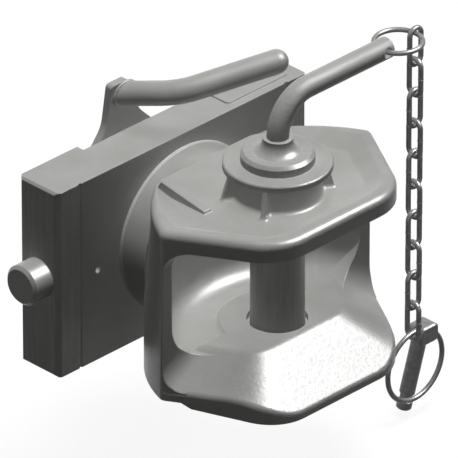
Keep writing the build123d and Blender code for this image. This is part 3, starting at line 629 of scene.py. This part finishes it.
def bead_tree(bead: bpy.types.Object, finish: bpy.types.Material) -> Tree:
    """Build the Geometry Nodes that lay one bead on every step of a path.

    Args:
        bead: Small mesh that is laid, with its length along X.
        finish: Material of the laid beads.

    Returns:
        The tree, with the inputs Geometry (the path), Step, Size, Unevenness and Seed.
    """
    tree = bpy.data.node_groups.new("beads_along_a_path", "GeometryNodeTree")
    face = tree.interface
    face.new_socket("Geometry", in_out="INPUT", socket_type="NodeSocketGeometry")
    for name, kind in (
        ("Step", "NodeSocketFloat"),
        ("Size", "NodeSocketFloat"),
        ("Unevenness", "NodeSocketFloat"),
        ("Seed", "NodeSocketInt"),
    ):
        face.new_socket(name, in_out="INPUT", socket_type=kind)
    face.new_socket("Geometry", in_out="OUTPUT", socket_type="NodeSocketGeometry")
    given = add_node(tree, "NodeGroupInput").outputs
    path = add_node(tree, "GeometryNodeMeshToCurve", inputs={"Mesh": given["Geometry"]}).outputs[0]
    steps = add_node(
        tree, "GeometryNodeCurveToPoints", {"mode": "LENGTH"}, {"Curve": path, "Length": given["Step"]}
    ).outputs
    least = add_node(
        tree, "ShaderNodeMath", {"operation": "SUBTRACT"}, {0: given["Size"], 1: given["Unevenness"]}
    ).outputs[0]
    size = add_node(
        tree,
        "FunctionNodeRandomValue",
        {"data_type": "FLOAT"},
        {"Min": least, "Max": given["Size"], "Seed": given["Seed"]},
    ).outputs["Value"]
    shape = add_node(tree, "GeometryNodeObjectInfo", inputs={"Object": bead}).outputs["Geometry"]
    laid = add_node(
        tree,
        "GeometryNodeInstanceOnPoints",
        inputs={"Points": steps["Points"], "Instance": shape, "Rotation": steps["Rotation"], "Scale": size},
    ).outputs[0]
    real = add_node(tree, "GeometryNodeRealizeInstances", inputs={"Geometry": laid}).outputs[0]
    dressed = add_node(
        tree, "GeometryNodeSetMaterial", inputs={"Geometry": real, "Material": finish}
    ).outputs[0]
    add_node(tree, "NodeGroupOutput", inputs={"Geometry": dressed})
    return tree


def link_object(name: str, data: bpy.types.ID) -> bpy.types.Object:
    """Put a mesh, lamp or camera into the scene.

    Args:
        name: Object's name.
        data: Its mesh, light or camera data.

    Returns:
        The new object, at the origin.
    """
    piece = bpy.data.objects.new(name, data)
    bpy.context.scene.collection.objects.link(piece)
    return piece


def ring_points(centre: Vector, along: Vector, radius: float, count: int) -> list[Vector]:
    """Find the points of a ring round an axis.

    Args:
        centre: Middle of the ring.
        along: Direction of its axis.
        radius: Radius in metres.
        count: Number of points.

    Returns:
        The points, evenly spaced.
    """
    way = along.normalized()
    across = way.orthogonal().normalized()
    other = way.cross(across)
    turns = [2 * math.pi * step / count for step in range(count)]
    return [centre + (across * math.cos(turn) + other * math.sin(turn)) * radius for turn in turns]


def bead_mesh(name: str, half: tuple[float, float, float]) -> bpy.types.Object:
    """Make one rounded scale of weld metal.

    Args:
        name: Name of the mesh.
        half: Half sizes in metres along X, Y and Z.

    Returns:
        The bead, which is removed once its copies are laid.
    """
    mesh = bpy.data.meshes.new(name)
    work = bmesh.new()
    bmesh.ops.create_icosphere(work, subdivisions=2, radius=1.0)
    bmesh.ops.scale(work, vec=half, verts=work.verts)
    for face in work.faces:
        face.smooth = True
    work.to_mesh(mesh)
    work.free()
    return link_object(name, mesh)


def lay_weld(
    name: str,
    points: list[Vector],
    half: tuple[float, float, float],
    finish: bpy.types.Material,
    values: dict[str, float],
) -> bpy.types.Object:
    """Lay beads round a closed path and keep them as a plain mesh.

    Args:
        name: Name of the finished weld.
        points: Points of the path in metres.
        half: Half sizes of one bead.
        finish: Material of the beads.
        values: Values of the bead tree's inputs by name.

    Returns:
        The finished weld.
    """
    count = len(points)
    edges = [(step, (step + 1) % count) for step in range(count)]
    ring = bpy.data.meshes.new(name + "_path")
    ring.from_pydata([tuple(point) for point in points], edges, [])
    path = link_object(name + "_path", ring)
    bead = bead_mesh(name + "_bead", half)
    layer = path.modifiers.new("beads", "NODES")
    layer.node_group = bead_tree(bead, finish)
    for item in layer.node_group.interface.items_tree:
        if item.in_out == "INPUT" and item.name in values:
            layer[item.identifier] = values[item.name]
    path.update_tag()
    bpy.context.view_layer.update()
    graph = bpy.context.evaluated_depsgraph_get()
    mesh = bpy.data.meshes.new_from_object(path.evaluated_get(graph))
    mesh.name = name
    path.modifiers.remove(layer)
    bpy.data.objects.remove(path)
    bpy.data.objects.remove(bead)
    for face in mesh.polygons:
        face.use_smooth = True
    LOG.info("%s: %d faces", name, len(mesh.polygons))
    return link_object(name, mesh)


def dress(node: bpy.types.Object, finish: bpy.types.Material) -> None:
    """Give a CAD node its finish in every slot that it has.

    Args:
        node: CAD node's object.
        finish: Its material.
    """
    for place in node.material_slots:
        place.material = finish
    LOG.info("%s: %s", node.name, finish.name)


@dataclass
class CastJaw:
    """Jaw casting with the two bushes for its pin."""

    casting: SandCastSteel = SandCastSteel()
    bush: TurnedSteel = TurnedSteel("turned_pin_bush", Way.Z, (0.0, PIN_Y, 0.0))

    def build(self, nodes: dict[str, bpy.types.Object]) -> None:
        """Dress the jaw and its bushes.

        Args:
            nodes: CAD nodes by name.
        """
        dress(nodes["jaw"], self.casting.material())
        bush = self.bush.material()
        for name in ("upper_bush", "lower_bush"):
            dress(nodes[name], bush)


@dataclass
class MainPin:
    """Coupling pin with its handle, bent from drawn bar."""

    pin: TurnedSteel = TurnedSteel("turned_main_pin", Way.Z, (0.0, PIN_Y, 0.0))
    handle: TurnedSteel = TurnedSteel(
        "drawn_handle_bar",
        Way.X,
        (0.0, PIN_Y, 172.0 * MM),
        pitch=5.0 * MM,
        relief=0.02 * MM,
        smoothest=0.46,
        roughest=0.56,
        metallic=0.0,
        specular=0.13,
    )

    def build(self, nodes: dict[str, bpy.types.Object]) -> None:
        """Dress the pin and its handle.

        Args:
            nodes: CAD nodes by name.
        """
        dress(nodes["main_pin"], self.pin.material())
        dress(nodes["pin_handle"], self.handle.material())


@dataclass
class Swivel:
    """Slide block with the bush, washer, nut and split pin that hold the jaw's trunnion."""

    block: MilledPlate = MilledPlate("milled_slide_block", Way.X, runs_in_rails=True)
    steel: TurnedSteel = TurnedSteel("turned_swivel_steel", Way.Y)
    thrust_ring: TurnedSteel = TurnedSteel("turned_thrust_ring", Way.Y, colour="#C6C7C6", darker="#B4B5B4")
    bronze: TurnedSteel = TurnedSteel(
        "turned_bronze", Way.Y, colour="#B08A52", darker="#96733F", metallic=0.8
    )

    def build(self, nodes: dict[str, bpy.types.Object]) -> None:
        """Dress the slide block and its swivel.

        Args:
            nodes: CAD nodes by name.
        """
        dress(nodes["slide_block"], self.block.material())
        steel = self.steel.material()
        for name in ("rear_washer", "trunnion_nut", "nut_split_pin"):
            dress(nodes[name], steel)
        dress(nodes["thrust_ring"], self.thrust_ring.material())
        dress(nodes["trunnion_bush"], self.bronze.material())


@dataclass
class LockLever:
    """Cam plate with its arm, the bent tube, and the two lock bolts that they draw in."""

    plate: MilledPlate = MilledPlate("sprayed_lever_plate", Way.Z)
    tube: MilledPlate = MilledPlate("sprayed_lever_tube", Way.X, colour="#ABABA9", specular=0.17)
    bolt: TurnedSteel = TurnedSteel("turned_lock_bolt", Way.X, (0.0, 24.5 * MM, 0.0))
    spring: ZincPlatedWire = ZincPlatedWire("oiled_spring_wire", "#8C8C8B", "#777775")
    tube_radius: float = 11.25 * MM
    tube_foot: tuple[float, float, float] = (-31.85 * MM, 41.2 * MM, 129.4 * MM)
    tube_run: tuple[float, float, float] = (0.508, -0.850, 0.140)
    weld_points: int = 72
    weld_stands: float = 0.7 * MM
    bead: float = 1.9 * MM
    bead_flat: float = 0.8
    step: float = 1.5 * MM
    unevenness: float = 0.15
    seed: int = 7

    def weld_path(self) -> list[Vector]:
        """Follow the line where the tube's wall meets the front of the arm.

        Returns:
            Points of the line.
        """
        run = Vector(self.tube_run).normalized()
        foot = Vector(self.tube_foot)
        stands = Vector((0.0, self.weld_stands, 0.0))
        ring = ring_points(foot, run, self.tube_radius, self.weld_points)
        return [point + run * ((foot.y - point.y) / run.y) - stands for point in ring]

    def build(self, nodes: dict[str, bpy.types.Object]) -> None:
        """Dress the lever and lay the weld round the foot of its tube.

        Args:
            nodes: CAD nodes by name.
        """
        tube = self.tube.material()
        dress(nodes["lever_plate"], self.plate.material())
        dress(nodes["lever_tube"], tube)
        bolt = self.bolt.material()
        spring = self.spring.material()
        for side in ("left", "right"):
            dress(nodes["lock_bolt_" + side], bolt)
            dress(nodes["lock_peg_" + side], bolt)
            dress(nodes["lock_spring_" + side], spring)
        half = (self.bead * self.bead_flat, self.bead, self.bead)
        values = {"Step": self.step, "Size": 1.0, "Unevenness": self.unevenness, "Seed": self.seed}
        piece = lay_weld("lever_weld", self.weld_path(), half, tube, values)
        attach(piece, "lever")


@dataclass
class KeeperChain:
    """Handle ring, ten chain links, and the ring and linch pin that hang from them."""

    plating: ZincPlatedWire = ZincPlatedWire()
    links: int = 10
    wire: float = 2.45 * MM
    seam_sunk: float = 0.8 * MM
    bead: float = 1.25 * MM
    seam_points: int = 14
    step: float = 1.1 * MM
    unevenness: float = 0.12
    seed: int = 13

    def weld_link(self, number: int, weld: bpy.types.Material) -> None:
        """Lay the resistance weld that closes one link, round the middle of its long side.

        Args:
            number: Link's number, from the handle down.
            weld: Material of the weld.
        """
        body = f"chain_link_{number:02d}"
        low, high = (Vector(corner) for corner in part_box(body))
        side = Vector(Way.X.value if number % 2 else Way.Y.value)
        half_width = (high - low).dot(side) / 2 - self.wire
        middle = (low + high) / 2 - side * half_width
        points = ring_points(middle, Vector(Way.Z.value), self.wire - self.seam_sunk, self.seam_points)
        half = (self.bead, self.bead, self.bead)
        values = {"Step": self.step, "Size": 1.0, "Unevenness": self.unevenness, "Seed": self.seed}
        piece = lay_weld(f"link_weld_{number:02d}", points, half, weld, values)
        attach(piece, body)

    def build(self, nodes: dict[str, bpy.types.Object], weld: bpy.types.Material) -> None:
        """Dress the chain and weld its links shut.

        Args:
            nodes: CAD nodes by name.
            weld: Material of the welds.
        """
        zinc = self.plating.material()
        for number in range(1, self.links + 1):
            dress(nodes[f"chain_link_{number:02d}"], zinc)
            self.weld_link(number, weld)
        for name in ("handle_ring", "linch_ring", "linch_pin"):
            dress(nodes[name], zinc)


class LampJob(Enum):
    """What a lamp's light does on a surface: light it, shine in its gloss, or both."""

    LIGHT = "light"
    SHINE = "shine"
    BOTH = "both"


@dataclass(frozen=True)
class Lamp:
    """Soft round lamp that faces the object, with its direction, width in metres and power in watts."""

    name: str
    towards: tuple[float, float, float]
    width: float
    power: float
    job: LampJob
    shadow: bool = False

    def hang(self, distance: float) -> bpy.types.Object:
        """Hang the lamp.

        Args:
            distance: How far it is from the object, in metres.

        Returns:
            The lamp.
        """
        data = bpy.data.lights.new(self.name, "AREA")
        data.shape = "DISK"
        data.size = self.width
        data.energy = self.power
        data.use_shadow = self.shadow
        lamp = link_object(self.name, data)
        way = Vector(self.towards).normalized()
        lamp.location = way * distance
        lamp.rotation_euler = way.to_track_quat("Z", "Y").to_euler()
        lamp.visible_camera = False
        lamp.visible_diffuse = self.job is not LampJob.SHINE
        lamp.visible_glossy = self.job is not LampJob.LIGHT
        return lamp


@dataclass
class Studio:
    """Pale floor, overhead light, a bright panel in front on the right, and the photograph's camera."""

    floor_level: float = -221.5 * MM
    floor_half: float = 30.0
    floor_seen: float = 0.12
    floor_bounce: float = 0.035
    floor_glow: float = 0.84
    world_dim: float = 0.015
    lamps: tuple[Lamp, ...] = (
        Lamp("overhead", (0.02, -0.05, 1.0), 1.2, 12.0, LampJob.BOTH, shadow=True),
        Lamp("overhead_fill", (0.0, -0.03, 1.0), 1.2, 80.0, LampJob.LIGHT),
        Lamp("front_panel", (0.47, -0.42, 0.78), 1.9, 900.0, LampJob.SHINE),
        Lamp("rear_lamp", (0.62, 0.78, 0.12), 1.8, 44.0, LampJob.LIGHT),
    )
    floor_lamp: Lamp = Lamp("floor_lamp", (0.1, -0.2, 1.0), 1.4, 90.0, LampJob.LIGHT, shadow=True)
    lamp_distance: float = 3.2
    azimuth: float = -45.0
    elevation: float = 30.0
    view_width: float = 0.4037
    lens: float = 1000.0
    sensor: float = 36.0
    clip_end: float = 200.0
    shift_right: float = 0.0398
    shift_down: float = 0.0036

    def floor(self) -> bpy.types.Object:
        """Lay the floor, which shows white to the camera and keeps the object's shadow.

        Returns:
            The floor.
        """
        material, tree, _ = start_material("pale_floor")
        seen = self.seen_white(tree)
        shade = add_node(
            tree,
            "ShaderNodeMapRange",
            inputs={"Value": seen, "To Min": self.floor_bounce, "To Max": self.floor_seen},
        ).outputs[0]
        paint = add_node(tree, "ShaderNodeBsdfDiffuse", inputs={"Color": shade}).outputs[0]
        strength = add_node(
            tree, "ShaderNodeMath", {"operation": "MULTIPLY"}, {0: seen, 1: self.floor_glow}
        ).outputs[0]
        glow = add_node(tree, "ShaderNodeEmission", inputs={"Strength": strength}).outputs[0]
        both = add_node(tree, "ShaderNodeAddShader", inputs={0: paint, 1: glow}).outputs[0]
        add_node(tree, "ShaderNodeOutputMaterial", inputs={"Surface": both})
        mesh = bpy.data.meshes.new("floor")
        half = self.floor_half
        ends = ((-half, -half), (half, -half), (half, half), (-half, half))
        mesh.from_pydata([(x, y, self.floor_level) for x, y in ends], [], [(0, 1, 2, 3)])
        mesh.materials.append(material)
        floor = link_object("floor", mesh)
        return floor

    def seen_white(self, tree: Tree) -> Socket:
        """Mask that is 1 for what the camera, a gloss or a glass sees, and 0 for diffuse light.

        Args:
            tree: Tree of the floor's material or of the world.

        Returns:
            The mask.
        """
        rays = add_node(tree, "ShaderNodeLightPath").outputs
        either = {"operation": "MAXIMUM"}
        seen = add_node(
            tree, "ShaderNodeMath", either, {0: rays["Is Camera Ray"], 1: rays["Is Glossy Ray"]}
        ).outputs[0]
        return add_node(tree, "ShaderNodeMath", either, {0: seen, 1: rays["Is Transmission Ray"]}).outputs[0]

    def world(self) -> None:
        """Set the world: white where it is seen, dim where it lights."""
        world = bpy.data.worlds.new("studio")
        bpy.context.scene.world = world
        world.use_nodes = True
        tree = world.node_tree
        tree.nodes.clear()
        strength = add_node(
            tree, "ShaderNodeMapRange", inputs={"Value": self.seen_white(tree), "To Min": self.world_dim}
        ).outputs[0]
        light = add_node(
            tree, "ShaderNodeBackground", inputs={"Color": linear("#FFFFFF"), "Strength": strength}
        ).outputs[0]
        add_node(tree, "ShaderNodeOutputWorld", inputs={"Surface": light})

    def light(self, floor: bpy.types.Object) -> None:
        """Hang the lamps, with the floor's own lamp on nothing but the floor.

        Args:
            floor: The floor.
        """
        for lamp in self.lamps:
            lamp.hang(self.lamp_distance)
        lit = bpy.data.collections.new("lit_floor")
        lit.objects.link(floor)
        self.floor_lamp.hang(self.lamp_distance).light_linking.receiver_collection = lit

    def camera(self) -> None:
        """Set the camera at the photograph's angle, far away with a long lens as in a parallel view."""
        turn, rise = math.radians(self.azimuth), math.radians(self.elevation)
        back = Vector((math.cos(rise) * math.sin(turn), -math.cos(rise) * math.cos(turn), math.sin(rise)))
        right = Vector((math.cos(turn), math.sin(turn), 0.0))
        up = back.cross(right)
        centre = right * self.shift_right - up * self.shift_down
        data = bpy.data.cameras.new("photograph")
        data.lens = self.lens
        data.sensor_width = self.sensor
        data.clip_end = self.clip_end
        eye = link_object("photograph", data)
        distance = self.view_width * self.lens / self.sensor
        turned = Matrix((right, up, back)).transposed().to_4x4()
        eye.matrix_world = Matrix.Translation(centre + back * distance) @ turned
        bpy.context.scene.camera = eye

    def build(self) -> None:
        """Set floor, world, lamps, camera and view transform."""
        floor = self.floor()
        self.world()
        self.light(floor)
        self.camera()
        bpy.context.scene.view_settings.view_transform = "Standard"
        LOG.info("studio set")


def main() -> None:
    """Load the frame, build each sub-assembly and set the studio."""
    logging.basicConfig(level=logging.INFO, format="%(message)s")
    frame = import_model()
    nodes = frame["nodes"]
    CastJaw().build(nodes)
    MainPin().build(nodes)
    Swivel().build(nodes)
    LockLever().build(nodes)
    KeeperChain().build(nodes, WeldMetal().material())
    Studio().build()


if __name__ == "__main__":
    main()
